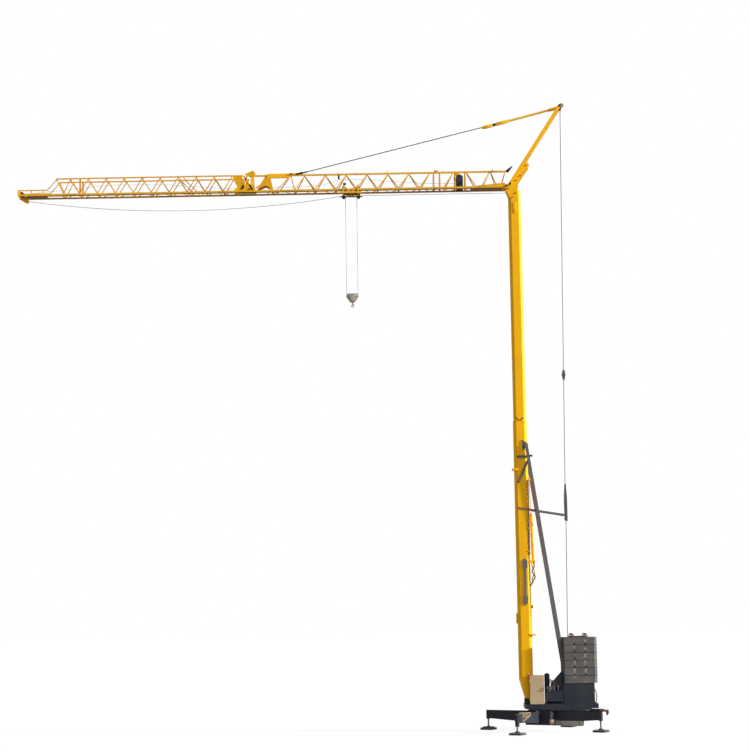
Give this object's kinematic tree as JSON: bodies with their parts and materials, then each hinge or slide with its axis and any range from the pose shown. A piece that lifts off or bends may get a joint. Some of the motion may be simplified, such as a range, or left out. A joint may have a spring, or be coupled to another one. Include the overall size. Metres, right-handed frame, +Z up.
{
  "type": "fast-erecting tower crane",
  "caption": "Self-erecting tower crane with a plated telescopic tower, folding lattice jib with trolley and hook, rear guy, slewing counterweight and screw-jack feet.",
  "frame": {"origin": "on the ground, on the slewing axis, at the centre of the four feet", "axes": "+Z up along the slewing axis, the jib along -X, the control cabinet on the -Y side"},
  "size_m": [28.2861, 5.9522, 30.6303],
  "materials": {
    "yellow_paint": "semi-gloss paint",
    "jib_paint": "weathered semi-gloss paint",
    "anthracite_paint": "satin paint",
    "concrete": "cast concrete",
    "black_pad": "matt",
    "cabinet_paint": "satin paint",
    "black_paint": "satin paint",
    "strut_paint": "satin paint",
    "worn_steel": "greased steel",
    "wire_rope": "galvanised wire",
    "dark_fitting": "satin paint",
    "block_paint": "worn paint"
  },
  "bodies": {
    "undercarriage": {"base_frame": "anthracite_paint", "outrigger_arms": "anthracite_paint", "slew_ring_lower": "anthracite_paint"},
    "jack_1": {"jack_screw_1": "worn_steel", "foot_pad_1": "black_pad"},
    "jack_2": {"jack_screw_2": "worn_steel", "foot_pad_2": "black_pad"},
    "jack_3": {"jack_screw_3": "worn_steel", "foot_pad_3": "black_pad"},
    "jack_4": {"jack_screw_4": "worn_steel", "foot_pad_4": "black_pad"},
    "trolley": {"trolley_frame": "jib_paint", "trolley_wheels": "worn_steel", "trolley_sheaves": "worn_steel"},
    "block": {"hook_block": "block_paint", "block_sheaves": "worn_steel", "hoist_falls": "wire_rope"},
    "hook": {"hook": "worn_steel"},
    "cabinet_door": {"cabinet_door": "cabinet_paint"},
    "superstructure": {"tower_shoe": "yellow_paint", "lower_tower": "yellow_paint", "tower_collar": "yellow_paint", "upper_tower": "yellow_paint", "head_plates": "yellow_paint", "tie_strut": "yellow_paint", "tie_bars": "yellow_paint", "tie_anchor": "yellow_paint", "erection_cylinder": "yellow_paint", "inner_bottom_chords": "jib_paint", "inner_top_chord": "jib_paint", "inner_sides": "jib_paint", "inner_floor": "jib_paint", "fold_plates": "jib_paint", "fold_frame": "jib_paint", "fold_bracket": "jib_paint", "outer_chords": "jib_paint", "outer_sides": "jib_paint", "outer_floor": "jib_paint", "jib_nose": "jib_paint", "slewing_platform": "anthracite_paint", "ballast_box": "anthracite_paint", "winch_cover": "anthracite_paint", "hoist_winch": "anthracite_paint", "strut_gussets": "anthracite_paint", "jib_winch": "anthracite_paint", "strut_cap": "anthracite_paint", "slew_ring_upper": "anthracite_paint", "counterweight_odd_slabs": "concrete", "counterweight_even_slabs": "concrete", "control_cabinet": "cabinet_paint", "oil_tank": "black_paint", "erection_struts": "strut_paint", "strut_links": "strut_paint", "guy_spreader": "strut_paint", "jib_foot_shaft": "worn_steel", "guy_rope": "wire_rope", "tie_rope": "wire_rope", "hoist_rope_run": "wire_rope", "slack_rope": "wire_rope", "guy_fittings": "dark_fitting"}
  },
  "joints": [
    {"name": "slew", "type": "hinge", "parent": "undercarriage", "child": "superstructure", "pos_m": [0, 0, 0], "axis": [0, 0, 1], "continuous": true},
    {"name": "jack_1_screw", "type": "slide", "parent": "undercarriage", "child": "jack_1", "axis": [0, 0, -1], "range_m": [-0.15, 0.15]},
    {"name": "jack_2_screw", "type": "slide", "parent": "undercarriage", "child": "jack_2", "axis": [0, 0, -1], "range_m": [-0.15, 0.15]},
    {"name": "jack_3_screw", "type": "slide", "parent": "undercarriage", "child": "jack_3", "axis": [0, 0, -1], "range_m": [-0.15, 0.15]},
    {"name": "jack_4_screw", "type": "slide", "parent": "undercarriage", "child": "jack_4", "axis": [0, 0, -1], "range_m": [-0.15, 0.15]},
    {"name": "trolley_travel", "type": "slide", "parent": "superstructure", "child": "trolley", "axis": [-1, 0, 0], "range_m": [-5.2, 14.3], "deforming": ["hoist_rope_run", "slack_rope"]},
    {"name": "hoist", "type": "slide", "parent": "trolley", "child": "block", "axis": [0, 0, 1], "range_m": [-19.4, 4.3], "deforming": ["hoist_falls"]},
    {"name": "hook_swivel", "type": "hinge", "parent": "block", "child": "hook", "pos_m": [-8.85, 0, 20.8], "axis": [0, 0, 1], "continuous": true},
    {"name": "cabinet_door_hinge", "type": "hinge", "parent": "superstructure", "child": "cabinet_door", "pos_m": [-0.666, -0.715, 0], "axis": [0, 0, -1], "range_deg": [0, 110]}
  ]
}
